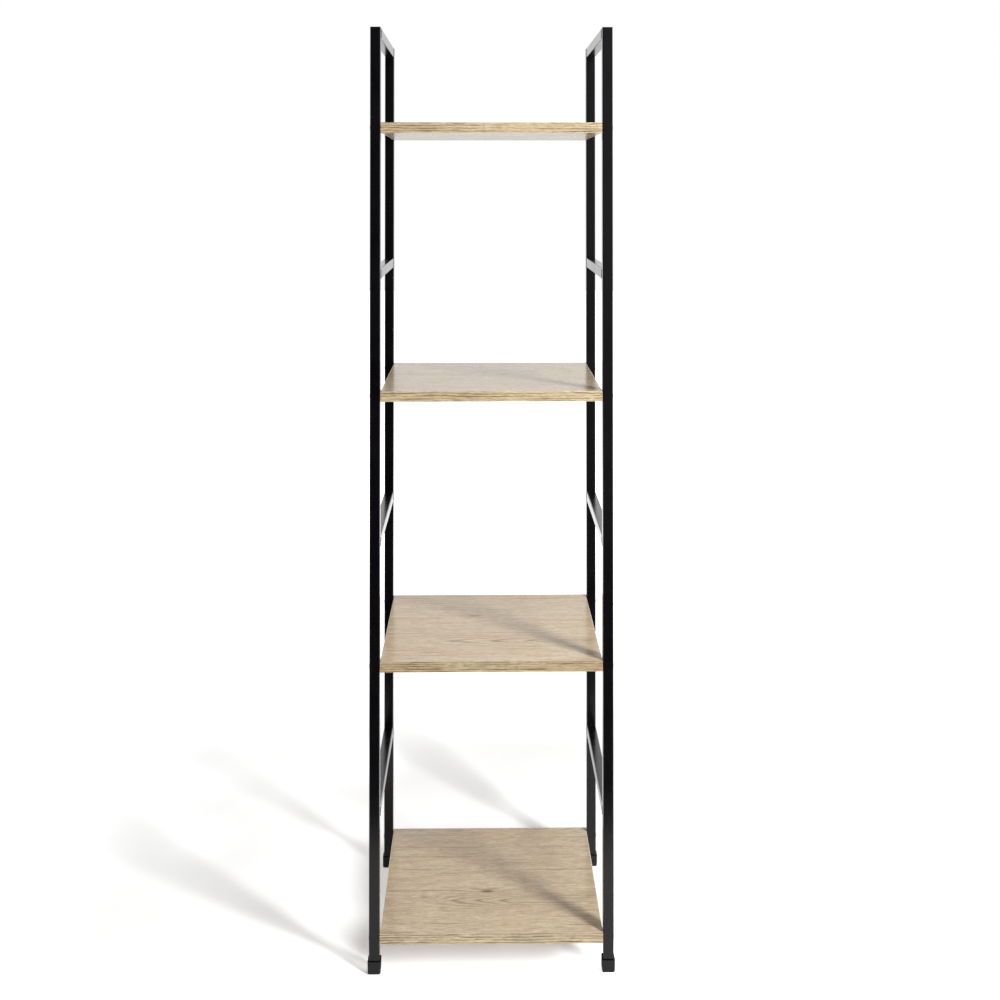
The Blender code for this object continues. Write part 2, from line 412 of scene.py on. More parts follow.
def grain_group():
    group, given, result = start_group("oak_grain", GRAIN_INPUTS, GRAIN_OUTPUTS)
    place = given["Vector"]
    # The lines: a phase across the board, swayed by two noises and folded at the axis
    slow = noise(place, (2.2, 11.0, 11.0))
    quick = noise(place, (18.0, 110.0, 110.0))
    sway = fused(quick, given["Ripple"], slow)
    from_axis = maths("SUBTRACT", split(place)[1], given["Axis"])
    squared = fused(from_axis, from_axis, AXIS_CALM**2)
    shifted = fused(sway, given["Wander"], maths("SQRT", squared))
    phase = maths("DIVIDE", shifted, given["Line Pitch"])
    phase = maths("ADD", phase, given["Hill"])
    wave = ranged(maths("SINE", product(phase, math.tau)), -1.0, 1.0)
    lines = maths("POWER", wave, given["Line Edge"])
    # Their strength comes and goes, and is full where the knots and arches ask for it
    faint = fused(given["Cover"], -0.35, 0.65)
    bold = maths("ADD", faint, 0.18)
    strength = ranged(noise(place, (7.0, 70.0, 70.0)), faint, bold)
    strength = maths("MAXIMUM", strength, given["Clear"], clamp=True)
    streaks = noise(place, (13.0, 95.0, 95.0), detail=6.0, roughness=0.85)
    fibres = noise(place, (80.0, 330.0, 330.0), detail=3.0, roughness=0.7)
    ticks = ranged(noise(place, (36.0, 300.0, 300.0), detail=1.0), 0.63, 0.72)
    dashes = ranged(noise(place, (90.0, 1500.0, 1500.0), detail=1.0), 0.60, 0.68)
    patches = noise(place, (6.0, 24.0, 24.0), detail=3.0, distortion=0.5)
    breaks = noise(place, (18.0, 210.0, 210.0))
    wire_inputs(result, {
        "Lines": product(lines, strength),
        "Streaks": ranged(streaks, 0.37, 0.63),
        "Fibres": ranged(fibres, 0.38, 0.62),
        "Pores": maths("MAXIMUM", ticks, dashes),
        "Patches": ranged(patches, 0.32, 0.68),
        "Breaks": ranged(breaks, 0.38, 0.54, 0.25, 1.0),
    })
    return group


GRAIN = grain_group()
print("made the group", GRAIN.name, "with", len(GRAIN_OUTPUTS), "outputs")

# %% [markdown]
# The four boards share their materials. Where a board's print has a value of its own, or a board
# is given its own painted light or shade, one more group tells the boards apart by their height and
# hands out the right number.

# %% Build the group that tells the boards apart
SHELF_NAMES = ("bottom", "lower", "upper", "top")
SAME_BOARD = 0.03


def board_top(name):
    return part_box(name + "_shelf_board")[1].z


def by_board_group():
    inputs = {"Vector": ORIGIN, **dict.fromkeys(SHELF_NAMES, 0.0)}
    group, given, result = start_group("by_board", inputs, ("Value",))
    height = split(given["Vector"])[2]
    value = 0.0
    for name in SHELF_NAMES:
        here = maths("COMPARE", height, board_top(name), SAME_BOARD)
        value = fused(here, given[name], value)
    wire_inputs(result, {"Value": value})
    return group


def by_board(place, values):
    return use_group(BY_BOARD, {"Vector": place["Object"], **values})["Value"]


BY_BOARD = by_board_group()
print("made the group", BY_BOARD.name)

# %% [markdown]
# ## The two oak materials
#
# The foil on the faces and the band on the edges are two products, bought apart. The face is greyer
# and calm, the band is yellower and its lines are dark, close together and broken into dashes. Both
# use the same grain group with other values. The knots of a board are listed by their place on it.

# %% Build the oak face
FACE_PALE = (0.800, 0.680, 0.478, 1.0)
FACE_WARM = (0.750, 0.582, 0.392, 1.0)
FACE_DARK = (0.400, 0.285, 0.170, 1.0)
FACE_LINE = (0.270, 0.180, 0.100, 1.0)
KNOT_BROWN = (0.170, 0.090, 0.045, 1.0)
# Painted light and shade: each board's face is made lighter or darker for the light that falls on it
FACE_PAINTED_LIGHT_TONES = {"Value": {"bottom": 1.0, "lower": 1.15, "upper": 1.0, "top": 0.90}}
FACE_GRAIN = {"Line Pitch": 0.0105, "Line Edge": 4.2, "Wander": 0.032, "Ripple": 0.20,
              "Cover": 0.35}
OAK_CLOUD = 0.05
OAK_IOR = 1.46
PORE_DULLNESS = 0.12
FIBRE_DEPTH = -0.35
# Each knot: board, place along X and Y in metres, reach along X and Y, rise in lines, dark heart
KNOTS = (
    ("bottom", -0.007, -0.041, 0.034, 0.0115, 1.3, 1.3),
    ("bottom", -0.100, -0.056, 0.024, 0.0065, 1.1, 0.8),
    ("bottom", 0.077, 0.148, 0.022, 0.0060, 1.0, 0.9),
    ("lower", -0.025, 0.045, 0.028, 0.0070, 1.1, 0.5),
    ("upper", 0.060, 0.050, 0.028, 0.0070, 1.1, 0.5),
    ("top", -0.050, -0.020, 0.028, 0.0080, 1.3, 0.8),
)
KNOT_HEIGHT_REACH = 0.05
# The quiet axis of each board's print: where along X its arches start, its place along Y, the run
# over which the arches follow each other (negative towards -X), and their number
AXES = (
    ("bottom", -0.085, -0.067, 0.125, 4.0),
    ("lower", -0.085, -0.066, 0.160, 3.0),
    ("upper", 0.090, 0.020, -0.180, 3.0),
    ("top", -0.040, 0.050, 0.150, 4.0),
)
ARCH_BREADTH = 0.022


def add_knots(place, hills, clear):
    cores = 0.0
    for board, x, y, along, across, rise, heart in KNOTS:
        values = {"Vector": place["Object"], "Centre": (x, y, board_top(board)),
                  "Reach": (along, across, KNOT_HEIGHT_REACH)}
        knot = use_group(KNOT, values)
        hills = fused(knot["Hill"], rise, hills)
        cores = fused(knot["Core"], heart, cores)
        clear = fused(knot["Hill"], 0.9, clear)
    return hills, cores, clear


def add_arches(place, hills, clear):
    for board, x, y, run, count in AXES:
        values = {"Vector": place["Object"], "Start": (x, y, board_top(board)), "Run": run,
                  "Count": count, "Reach": (1.0, ARCH_BREADTH, SAME_BOARD)}
        arches = use_group(ARCHES, values)
        hills = maths("SUBTRACT", hills, arches["Slope"])
        clear = maths("MAXIMUM", clear, arches["Near"])
    return hills, clear


def finish_oak(shader, place, grain, colour, painted_tones, sheen, spread, dents, strength, depth):
    # Each board gets its own tone: painted light or shade, lighter or darker for the light that
    # falls on it. Pores are duller than the foil, fibres are pressed into it
    painted_tuning = {name: by_board(place, values) for name, values in painted_tones.items()}
    colour = wired("HueSaturation", {"Color": colour, **painted_tuning})[0]
    rough = fused(clouds_on(place, OAK_CLOUD), spread, sheen)
    rough = fused(grain["Pores"], PORE_DULLNESS, rough)
    relief = fused(grain["Fibres"], FIBRE_DEPTH, dents)
    wire_surface(shader, colour, rough, relief, strength, depth, {"IOR": OAK_IOR})


def face_material():
    material, shader, place = start_material("pale_oak_print")
    axis = by_board(place, {board: y for board, x, y, run, count in AXES})
    hills, cores, clear = add_knots(place, 0.0, 0.0)
    hills, clear = add_arches(place, hills, clear)
    grain = use_group(GRAIN, {"Vector": place["Object"], **FACE_GRAIN, "Axis": axis,
                              "Hill": hills, "Clear": clear})
    base = blended(grain["Patches"], FACE_PALE, FACE_WARM)
    base = laid_over(base, FACE_DARK, (grain["Streaks"], 0.50))
    base = laid_over(base, FACE_LINE, (grain["Lines"], 0.85), (grain["Fibres"], 0.36),
                     (grain["Pores"], 0.50))
    base = laid_over(base, KNOT_BROWN, (cores, 0.75))
    finish_oak(shader, place, grain, base, FACE_PAINTED_LIGHT_TONES, sheen=0.18, spread=0.05,
               dents=product(grain["Pores"], -0.6), strength=0.35, depth=0.00004)
    return material


OAK_FACE = face_material()
print("made the material", OAK_FACE.name, "with", len(KNOTS), "knots")

# %% Build the oak edge band
BAND_PALE = (0.660, 0.550, 0.348, 1.0)
BAND_WARM = (0.580, 0.446, 0.262, 1.0)
BAND_LINE = (0.095, 0.042, 0.014, 1.0)
BAND_CUT = (0.930, 0.870, 0.740, 1.0)
# Painted light and shade: each board's band is made lighter or darker, and more or less saturated,
# for the light that falls on it
BAND_PAINTED_LIGHT_TONES = {"Value": {"bottom": 1.10, "lower": 0.91, "upper": 1.0, "top": 0.98},
              "Saturation": {"bottom": 0.87, "lower": 1.0, "upper": 0.98, "top": 0.95}}
BAND_GRAIN = {"Line Pitch": 0.0050, "Line Edge": 4.2, "Wander": 0.020, "Ripple": 0.20,
              "Cover": 1.0}
CUT_SPREAD = 0.25


def band_material(name, turn, stretch, bare_edge):
    # The print runs along X, and its lines follow each other up the band
    material, shader, place = start_material(name)
    values = {"Vector": place["Object"], "Rotation": turn, "Scale": stretch}
    laid = wired("Mapping", values)[0]
    grain = use_group(GRAIN, {"Vector": laid, **BAND_GRAIN})
    base = blended(grain["Patches"], BAND_PALE, BAND_WARM)
    base = laid_over(base, BAND_LINE, (grain["Streaks"], 0.38),
                     (grain["Lines"], grain["Breaks"]), (grain["Fibres"], 0.25),
                     (grain["Pores"], 0.50))
    base = laid_over(base, BAND_CUT, (edges_of(place, CUT_SPREAD)["Upward"], bare_edge))
    finish_oak(shader, place, grain, base, BAND_PAINTED_LIGHT_TONES, sheen=0.42, spread=0.06,
               dents=product(grain["Lines"], -0.5), strength=0.4, depth=0.00005)
    return material


OAK_LONG_BAND = band_material("pale_oak_band_long", (QUARTER, 0.0, 0.0), (1.3, 1.0, 1.3), 0.35)
OAK_END_BAND = band_material("pale_oak_band_end", (QUARTER, QUARTER, 0.0), (1.0, 1.3, 1.3), 0.95)
print("made the materials", OAK_LONG_BAND.name, "and", OAK_END_BAND.name)

# %% [markdown]
# ## Foot plastic and screw steel
#
# The foot caps are moulded in a soft black plastic with the fine, dry texture that a spark-eroded
# mould leaves, and they are a little lighter than the powder coat. The screws are blackened steel:
# a dark, uneven oxide with the metal rubbed bare in small spots.

# %% Build the plastic and the blackened steel
PLASTIC_DARK = (0.0060, 0.0055, 0.0058, 1.0)
PLASTIC_LIGHT = (0.0120, 0.0110, 0.0115, 1.0)
PLASTIC_GRAIN = 0.00025
OXIDE_DARK = (0.012, 0.012, 0.013, 1.0)
OXIDE_LIGHT = (0.045, 0.043, 0.042, 1.0)
STEEL_BARE = (0.180, 0.175, 0.170, 1.0)
OXIDE_CLOUD = 0.0016
RUB_SPOT = 0.0005


def screw_material():
    material, shader, place = start_material("blackened_screw_steel")
    clouds = clouds_on(place, OXIDE_CLOUD)
    rub = clouds_on(place, RUB_SPOT)
    base = blended(clouds, OXIDE_DARK, OXIDE_LIGHT)
    base = laid_over(base, STEEL_BARE, (maths("POWER", rub, 4.0), 0.35))
    sheen = fused(clouds, 0.18, 0.30)
    wire_surface(shader, base, sheen, rub, strength=0.3, depth=0.00002,
                 others={"Metallic": 0.85})
    return material


FOOT_PLASTIC = film_material(
    "black_foot_plastic_moulded", grain=PLASTIC_GRAIN, cloud=0.012, dark=PLASTIC_DARK,
    light=PLASTIC_LIGHT, worn=PLASTIC_LIGHT, shares=(0.6,), sheen=(0.55, 0.08, -0.10),
    depth=0.00004)
SCREW_STEEL = screw_material()
print("made the materials", FOOT_PLASTIC.name, "and", SCREW_STEEL.name)

# %% [markdown]
# ## Helpers for modelling
#
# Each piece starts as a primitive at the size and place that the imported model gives. In edit mode,
# faces and edges are picked by where they lie or which way they run, and an operator shapes them.
# Everything else is deselected first, because the operators act on all that is selected, and the
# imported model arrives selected.

# %% Pick and shape parts of a mesh
SAME_PLACE = 1e-5
STRAIGHT = 0.999


def make_active(piece):
    deselect_all()
    piece.select_set(True)
    bpy.context.view_layer.objects.active = piece


def apply_place():
    bpy.ops.object.transform_apply(location=True, rotation=True, scale=True)
    return bpy.context.object


def add_block(name, low, high):
    deselect_all()
    bpy.ops.mesh.primitive_cube_add(size=1.0, location=(low + high) / 2, scale=high - low)
    bpy.context.object.name = name
    return apply_place()


def add_rod(centre, length, radius, sides):
    # A rod lies along X
    deselect_all()
    bpy.ops.mesh.primitive_cylinder_add(vertices=sides, radius=radius, depth=length,
                                        location=centre, rotation=(0.0, QUARTER, 0.0))
    return apply_place()


def pick(piece, kind, wanted):
    make_active(piece)
    bpy.ops.object.mode_set(mode="EDIT")
    bpy.ops.mesh.select_mode(type=kind)
    bpy.ops.mesh.select_all(action="DESELECT")
    mesh = bmesh.from_edit_mesh(piece.data)
    parts = {"FACE": mesh.faces, "EDGE": mesh.edges}[kind]
    for part in [part for part in parts if wanted(part)]:
        part.select_set(True)
    mesh.select_flush_mode()
    bmesh.update_edit_mesh(piece.data)


def leave_edit():
    bpy.ops.object.mode_set(mode="OBJECT")


def runs_along(axis):
    return lambda edge: abs((edge.verts[1].co - edge.verts[0].co).normalized()[axis]) > STRAIGHT


def lies_at(axis, value):
    return lambda part: all(abs(vert.co[axis] - value) < SAME_PLACE for vert in part.verts)


def looks_along(axis, sign):
    return lambda face: face.normal[axis] * sign > STRAIGHT


def round_over(piece, wanted, radius, steps):
    pick(piece, "EDGE", wanted)
    bpy.ops.mesh.bevel(offset=radius, offset_type="OFFSET", segments=steps, profile=0.5,
                       affect="EDGES")
    leave_edit()


def open_end(piece, axis, sign):
    pick(piece, "FACE", looks_along(axis, sign))
    bpy.ops.mesh.delete(type="FACE")
    leave_edit()


print("the shaping helpers are ready")

# %% [markdown]
# Walls and holes come from modifiers. Flat faces next to rounded edges need weighted normals, or
# the shading of the rounding would bleed over the flats and make the tube look inflated. A finished
# piece is tied to its body, and the imported piece that it replaces is hidden.

# %% Finish, copy and hand over pieces
SMOOTH_BELOW = math.radians(35)


def modify(piece, kind, **settings):
    adjust(piece.modifiers.new(kind.lower(), kind), settings)


def apply_modifiers(piece):
    make_active(piece)
    for modifier in list(piece.modifiers):
        bpy.ops.object.modifier_apply(modifier=modifier.name)


def give_wall(piece, wall):
    modify(piece, "SOLIDIFY", thickness=wall, offset=-1.0, use_even_offset=True)
    apply_modifiers(piece)


def cut_out(piece, *tools):
    for tool in tools:
        modify(piece, "BOOLEAN", operation="DIFFERENCE", solver="EXACT", object=tool)
    apply_modifiers(piece)
    for tool in tools:
        bpy.data.objects.remove(tool, do_unlink=True)


def settle_normals(piece, angle=SMOOTH_BELOW):
    make_active(piece)
    bpy.ops.object.shade_smooth_by_angle(angle=angle)
    modify(piece, "WEIGHTED_NORMAL", keep_sharp=True)
    apply_modifiers(piece)


def paint(piece, material):
    piece.data.materials.clear()
    piece.data.materials.append(material)


def finished(piece, material):
    settle_normals(piece)
    paint(piece, material)
    return piece


def copy_piece(piece, name, shift=Vector(), turn=0.0):
    twin = piece.copy()
    twin.data = piece.data.copy()
    twin.name = name
    twin.data.name = name
    bpy.context.collection.objects.link(twin)
    twin.data.transform(Matrix.Translation(shift) @ Matrix.Rotation(turn, 4, "Z"))
    return twin


def join_pieces(pieces):
    # The first piece takes in the others
    make_active(pieces[0])
    for piece in pieces:
        piece.select_set(True)
    bpy.ops.object.join()
    return pieces[0]


def hand_over(piece, node):
    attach(piece, "root")
    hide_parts(node)


def hand_out(pattern, nodes, ending):
    # The pattern itself is the first of the nodes, its copies are the others
    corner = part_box(nodes[0])[0]
    for node in nodes:
        piece = pattern
        if node != nodes[0]:
            piece = copy_piece(pattern, node + ending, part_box(node)[0] - corner)
        hand_over(piece, node)


def faces_of(piece):
    return len(piece.data.polygons)


print("the finishing helpers are ready")

# %% [markdown]
# ## The posts
#
# A post is a square tube, 15 mm wide with rounded corners, closed and ground smooth at the top and
# open at the foot, where the cap hides it. Each post is drilled through both walls for the four
# screws. It starts as a block, its long edges are rounded, the foot is opened, and Solidify gives
# it the tube's wall. The drill is a cylinder that is cut out at each board.

# %% Model one post and stand all four
SIDES = {"left": -1, "right": 1}
ROWS = {"front": -1, "rear": 1}
POST_NODES = [f"{side}_{row}_post" for side in SIDES for row in ROWS]
TUBE_WALL = 0.0012
TUBE_CORNER = 0.0015
TUBE_CORNER_STEPS = 6
TOP_EDGE = 0.0005
TOP_EDGE_STEPS = 3
DRILL_RADIUS = 0.0023
DRILL_SIDES = 32


def screw_box(board, side="left", row="front"):
    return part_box(f"{board}_shelf_{side}_{row}_screw")


def screw_height(board):
    low, high = screw_box(board)
    return (low.z + high.z) / 2


def add_drill(centre, length):
    return add_rod(centre, length, DRILL_RADIUS, DRILL_SIDES)


def add_tube(node, axis, low, high):
    tube = add_block(node + "_tube", low, high)
    round_over(tube, runs_along(axis), TUBE_CORNER, TUBE_CORNER_STEPS)
    return tube


def model_post(node):
    low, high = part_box(node)
    post = add_tube(node, 2, low, high)
    round_over(post, lies_at(2, high.z), TOP_EDGE, TOP_EDGE_STEPS)
    open_end(post, 2, -1)
    give_wall(post, TUBE_WALL)
    middle = (low + high) / 2
    length = (high.x - low.x) * 2
    heights = [screw_height(board) for board in SHELF_NAMES]
    cut_out(post, *[add_drill((middle.x, middle.y, height), length) for height in heights])
    return finished(post, POWDER_COAT)


post = model_post(POST_NODES[0])
hand_out(post, POST_NODES, "_tube")
print("the post has", faces_of(post), "faces, and", len(POST_NODES), "posts stand")

# %% [markdown]
# ## The rails
#
# A rail is a length of the same tube between a front and a rear post, open at both ends because the
# posts close it. The cross rails sit a little above the middle of each bay, and the top rails lie
# flush with the tops of the posts.

# %% Model one rail and fit all eight
RAIL_NAMES = ("bottom", "lower", "upper", "top")
RAIL_NODES = [f"{side}_{name}_rail" for side in SIDES for name in RAIL_NAMES]
RAIL_REACH = Vector((0.0, 0.00025, 0.0))


def model_rail(node):
    low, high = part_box(node)
    rail = add_tube(node, 1, low - RAIL_REACH, high + RAIL_REACH)
    open_end(rail, 1, -1)
    open_end(rail, 1, 1)
    give_wall(rail, TUBE_WALL)
    return finished(rail, POWDER_COAT)


rail = model_rail(RAIL_NODES[0])
hand_out(rail, RAIL_NODES, "_tube")
print("the rail has", faces_of(rail), "faces, and", len(RAIL_NODES), "rails are in")

# %% [markdown]
# ## The welds
#
# A short bead of weld runs along the top, the inner side and the underside of every rail end; the
# outer side, and the top of the top rails, are ground flush and show nothing. A bead is a row of
# small overlapping drops. The drops are spheres, and a voxel remesh melts them into one skin, which
# is smoothed and coated like the tube.

# %% Model the weld beads
DROP_RADIUS = 0.0009
DROP_SWING = 0.10
DROP_PITCH = 0.0010
BEAD_WOBBLE = 0.0001
BEAD_VOXEL = 0.00022
BEAD_SINK = 0.0003


def drop_places(start, end):
    count = max(2, round((end - start).length / DROP_PITCH))
    return [start.lerp(end, step / count) for step in range(count + 1)]


def bead_lines(rail_low, rail_high, row, top_is_ground, inner_sign):
    # The seams of one rail end, as start and end points in the corner between rail and post
    y = rail_high.y if row > 0 else rail_low.y
    y -= row * BEAD_SINK
    outer, inner = (rail_low.x, rail_high.x)[::inner_sign]
    inset = inner_sign * TUBE_CORNER
    skin = inner - inner_sign * BEAD_SINK
    start, end = outer + 2 * inset, inner - inset
    under, over = rail_low.z + BEAD_SINK, rail_high.z - BEAD_SINK
    seams = [((start, under), (end, under)),
             ((skin, rail_low.z + TUBE_CORNER), (skin, rail_high.z - TUBE_CORNER)),
             ((start, over), (end, over))]
    if top_is_ground:
        seams.pop()
    return [[Vector((x, y, z)) for x, z in seam] for seam in seams]


def add_drop(place, number):
    deselect_all()
    size = DROP_RADIUS * (1.0 + DROP_SWING * math.sin(2.4 * number))
    bpy.ops.mesh.primitive_uv_sphere_add(segments=16, ring_count=10, radius=size, location=place)
    return apply_place()


def wobble(number):
    y, z = math.sin(1.9 * number), math.cos(2.7 * number)
    return Vector((0.0, BEAD_WOBBLE * y, BEAD_WOBBLE * z))


def model_bead(name, seams):
    drops = []
    for start, end in seams:
        for place in drop_places(start, end):
            drops.append(add_drop(place + wobble(len(drops)), len(drops)))
    bead = join_pieces(drops)
    bead.name = name
    bead.data.name = name
    modify(bead, "REMESH", mode="VOXEL", voxel_size=BEAD_VOXEL)
    modify(bead, "SMOOTH", factor=0.5, iterations=2)
    apply_modifiers(bead)
    bpy.ops.object.shade_smooth()
    paint(bead, POWDER_COAT)
    return bead


bead_faces = 0
for side, sign in SIDES.items():
    patterns = {}
    for name in RAIL_NAMES:
        low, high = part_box(f"{side}_{name}_rail")
        for row, row_sign in ROWS.items():
            ground = name == "top"
            bead_name = f"{side}_{name}_rail_{row}_weld"
            if (row, ground) in patterns:
                pattern, corner = patterns[row, ground]
                bead = copy_piece(pattern, bead_name, low - corner)
            else:
                bead = model_bead(bead_name, bead_lines(low, high, row_sign, ground, -sign))
                patterns[row, ground] = (bead, low)
            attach(bead, "root")
            bead_faces += faces_of(bead)
print("the welds have", bead_faces, "faces")

# %% [markdown]
# ## The foot caps
#
# A cap is a moulded square cup with soft corners that slips over the end of the tube. It narrows a
# little towards the sole, so that it comes out of its mould. The block is tapered and rounded, the
# pocket is made by insetting the top face and pushing it down, and the rim is broken last.

# %% Model one foot cap and fit all four
CAP_NODES = [f"{side}_{row}_foot_cap" for side in SIDES for row in ROWS]
CAP_WALL = 0.0017
CAP_BASE = 0.003
CAP_CORNER = 0.0026
CAP_CORNER_STEPS = 6
CAP_SOLE_EDGE = 0.0022
CAP_SOLE_STEPS = 5
CAP_RIM_EDGE = 0.0004
CAP_RIM_STEPS = 3
CAP_TAPER = 0.965
UPRIGHT_RISE = 0.01


def rises(edge):
    return abs(edge.verts[0].co.z - edge.verts[1].co.z) > UPRIGHT_RISE


def model_cap(node):
    low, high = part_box(node)
    cap = add_block(node + "_cup", low, high)
    middle = (low + high) / 2
    pick(cap, "FACE", looks_along(2, -1))
    bpy.ops.transform.resize(value=(CAP_TAPER, CAP_TAPER, 1.0),
                             center_override=(middle.x, middle.y, low.z))
    leave_edit()
    round_over(cap, rises, CAP_CORNER, CAP_CORNER_STEPS)
    round_over(cap, lies_at(2, low.z), CAP_SOLE_EDGE, CAP_SOLE_STEPS)
    pick(cap, "FACE", looks_along(2, 1))
    bpy.ops.mesh.inset(thickness=CAP_WALL, depth=0.0)
    depth = high.z - low.z - CAP_BASE
    bpy.ops.mesh.extrude_region_move(TRANSFORM_OT_translate={"value": (0.0, 0.0, -depth)})
    leave_edit()
    round_over(cap, lies_at(2, high.z), CAP_RIM_EDGE, CAP_RIM_STEPS)
    return finished(cap, FOOT_PLASTIC)


cap = model_cap(CAP_NODES[0])
hand_out(cap, CAP_NODES, "_cup")
print("the cap has", faces_of(cap), "faces, and", len(CAP_NODES), "caps are on")

# %% [markdown]
# ## The boards
#
# A board is 15 mm thick and drilled at its ends for the screws. Its arrises are broken very
# lightly, just enough to catch a line of light beside the band.

# %% Model the boards
ARRIS = 0.00012
ARRIS_STEPS = 2
GLUE_REACH = Vector((0.00015, 0.00015, 0.0))
DRILL_SPARE = 0.002


def screw_drill(board, side, row, x, length):
    low, high = screw_box(board, side, row)
    return add_drill((x, (low.y + high.y) / 2, screw_height(board)), length)


def board_drill(board, side, row, end):
    # A hole from just past the screw's point to just past the end of the board
    sign = SIDES[side]
    low, high = screw_box(board, side, row)
    inner_end = (high.x if sign < 0 else low.x) - sign * DRILL_SPARE
    outer_end = sign * (end + DRILL_SPARE)
    x, length = (inner_end + outer_end) / 2, abs(outer_end - inner_end)
    return screw_drill(board, side, row, x, length)


def model_board(board):
    low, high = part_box(board + "_shelf_board")
    panel = add_block(board + "_shelf_board_panel", low - GLUE_REACH, high + GLUE_REACH)
    round_over(panel, lambda edge: True, ARRIS, ARRIS_STEPS)
    cut_out(panel, *[board_drill(board, side, row, high.x) for side in SIDES for row in ROWS])
    return finished(panel, OAK_FACE)


for board in SHELF_NAMES:
    panel = model_board(board)
    hand_over(panel, board + "_shelf_board")
print("the last board has", faces_of(panel), "faces")

# %% [markdown]
# ## The edge bands
#
# Thin bands close the edges of each board. Their outer edges are scraped round after gluing. The
# end bands are drilled where the screws pass.

# %% Model the edge bands
BAND_EDGE = 0.0004
BAND_EDGE_STEPS = 4
BAND_HOLE_LENGTH = 0.006


def model_band(node, axis, sign):
    low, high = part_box(node)
    band = add_block(node + "_strip", low, high)
    along = runs_along(1 - axis)
    outside = lies_at(axis, high[axis] if sign > 0 else low[axis])
    round_over(band, lambda edge: along(edge) and outside(edge), BAND_EDGE, BAND_EDGE_STEPS)
    return band


for board in SHELF_NAMES:
    for row, sign in ROWS.items():
        node = f"{board}_shelf_{row}_band"
        band = finished(model_band(node, 1, sign), OAK_LONG_BAND)
        hand_over(band, node)
    for side, sign in SIDES.items():
        node = f"{board}_shelf_{side}_band"
        band = model_band(node, 0, sign)
        x = (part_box(node)[0].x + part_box(node)[1].x) / 2
        holes = [screw_drill(board, side, row, x, BAND_HOLE_LENGTH) for row in ROWS]
        cut_out(band, *holes)
        hand_over(finished(band, OAK_END_BAND), node)
print("the last band has", faces_of(band), "faces")

# %% [markdown]
# ## The screws
#
# Each screw has a low domed head with a cross recess, a shank, a thread and a point. The solid
# starts as a short cylinder. Small pushes and shrinks raise the dome, and on the other side an
# inset and two pushes draw out the shank and the point. The recess is cut with two tapered bars.
# The thread is a small triangle that a Screw modifier winds along the shank.

# %% Model one screw along X
HEAD_RADIUS = 0.0040
HEAD_RIM = 0.0002
HEAD_DOME = 0.0004
HEAD_HEIGHT = HEAD_RIM + HEAD_DOME
HEAD_SIDES = 48
DOME_STEPS = 6
SHANK_RADIUS = 0.0016
SCREW_POINT = 0.004
POINT_TAPER = 0.2
THREAD_RADIUS = 0.00215
THREAD_SINK = 0.0002
THREAD_PITCH = 0.0022
THREAD_HALF = THREAD_PITCH * 0.32
THREAD_SHARE = 0.55
THREAD_STEPS = 20
RECESS_HALF = 0.0015
RECESS_SLOT = 0.0009
RECESS_DEPTH = 0.0012
RECESS_SPARE = 0.001
RECESS_TAPER = 0.6
SCREW_SMOOTH_BELOW = math.radians(40)


def push(value):
    bpy.ops.mesh.extrude_region_move(TRANSFORM_OT_translate={"value": (value, 0.0, 0.0)})


def narrow(factor, x=0.0):
    bpy.ops.transform.resize(value=(1.0, factor, factor), center_override=(x, 0.0, 0.0))


def model_head_and_shank(length):
    # The head's underside lies at X = 0 and its dome points along +X
    screw = add_rod((HEAD_RIM / 2, 0.0, 0.0), HEAD_RIM, HEAD_RADIUS, HEAD_SIDES)
    dome_radius = (HEAD_RADIUS**2 + HEAD_DOME**2) / (2 * HEAD_DOME)
    spread = math.asin(HEAD_RADIUS / dome_radius)
    rise, ring = 0.0, HEAD_RADIUS
    pick(screw, "FACE", looks_along(0, 1))
    for step in range(1, DOME_STEPS):
        angle = spread * (1 - step / DOME_STEPS)
        new_ring = dome_radius * math.sin(angle)
        new_rise = HEAD_DOME - dome_radius * (1 - math.cos(angle))
        push(new_rise - rise)
        narrow(new_ring / ring)
        rise, ring = new_rise, new_ring
    leave_edit()
    pick(screw, "FACE", looks_along(0, -1))
    bpy.ops.mesh.inset(thickness=HEAD_RADIUS - SHANK_RADIUS, depth=0.0)
    push(-(length - SCREW_POINT))
    push(-SCREW_POINT)
    narrow(POINT_TAPER, -length)
    leave_edit()
    return screw


def add_recess_bar(width, height):
    top = HEAD_HEIGHT + RECESS_SPARE
    floor = HEAD_HEIGHT - RECESS_DEPTH
    low, high = Vector((floor, -width, -height)), Vector((top, width, height))
    bar = add_block("recess_bar", low, high)
    pick(bar, "FACE", looks_along(0, -1))
    narrow(RECESS_TAPER, floor)
    leave_edit()
    return bar


def add_thread(length):
    deselect_all()
    bpy.ops.mesh.primitive_circle_add(vertices=3, radius=1.0, fill_type="NOTHING")
    thread = bpy.context.object
    root = SHANK_RADIUS - THREAD_SINK
    start = -(length - SCREW_POINT)
    corners = ((start - THREAD_HALF, root), (start + THREAD_HALF, root), (start, THREAD_RADIUS))
    for vert, (x, z) in zip(thread.data.vertices, corners):
        vert.co = (x, 0.0, z)
    turns = int((length - SCREW_POINT) * THREAD_SHARE / THREAD_PITCH)
    modify(thread, "SCREW", axis="X", angle=math.tau, screw_offset=THREAD_PITCH, iterations=turns,
           steps=THREAD_STEPS, render_steps=THREAD_STEPS, use_merge_vertices=False)
    apply_modifiers(thread)
    # The two open ends of the thread are closed
    pick(thread, "EDGE", lambda edge: edge.is_boundary)
    bpy.ops.mesh.fill()
    bpy.ops.mesh.select_all(action="SELECT")
    bpy.ops.mesh.normals_make_consistent(inside=False)
    leave_edit()
    return thread


